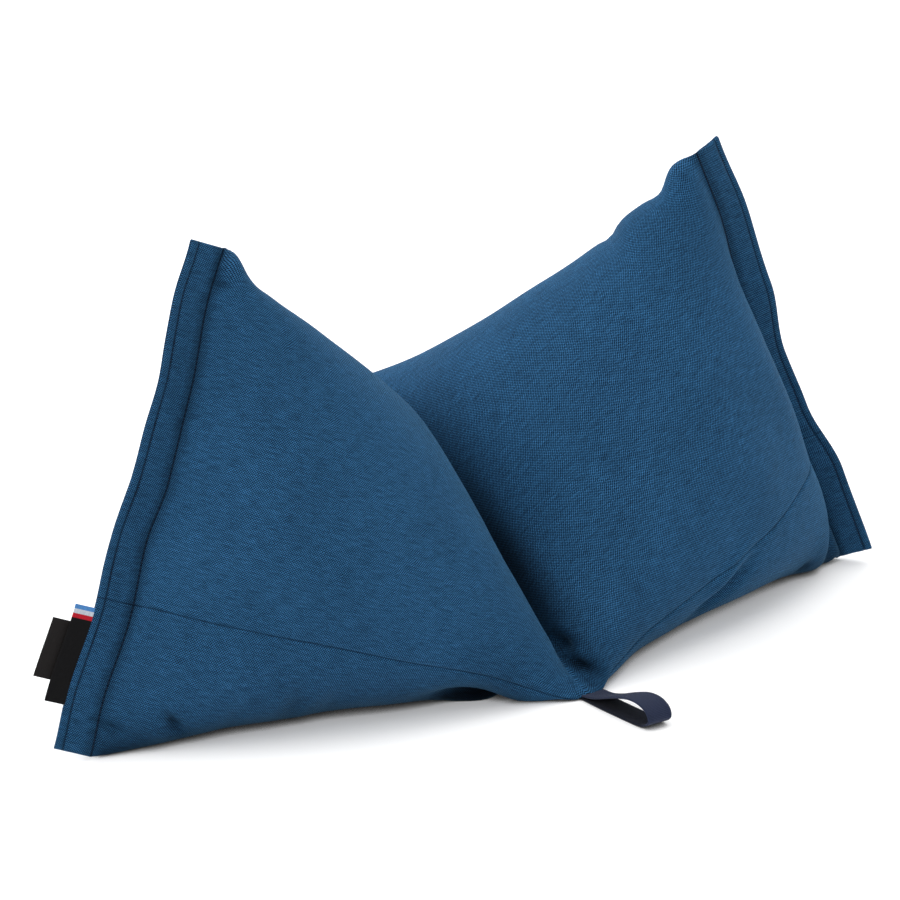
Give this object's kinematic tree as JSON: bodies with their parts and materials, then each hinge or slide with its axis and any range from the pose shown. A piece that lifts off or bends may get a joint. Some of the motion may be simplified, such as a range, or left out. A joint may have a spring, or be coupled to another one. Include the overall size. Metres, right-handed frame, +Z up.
{
  "type": "cervical pillow",
  "caption": "Canvas neck pillow of two filled lobes that meet in a sewn waist, with flat end flanges and a webbing loop.",
  "frame": {"origin": "middle of the footprint of the whole pillow, on the surface that it lies on", "axes": "+X along the pillow's length from the labelled flange to the plain one, +Y to the back, away from the loop, +Z up"},
  "size_m": [0.5133, 0.3069, 0.2518],
  "materials": {
    "canvas": "fine two-tone blue plain weave, matt",
    "webbing": "dark navy woven tape, matt",
    "woven_label": "black satin weave with a blue, white and red stripe at its upper end",
    "care_label": "dark printed tape, bare"
  },
  "bodies": {
    "root": {"cushion": "canvas", "loop": "webbing", "label_main": "woven_label", "label_care": "care_label"}
  },
  "joints": []
}
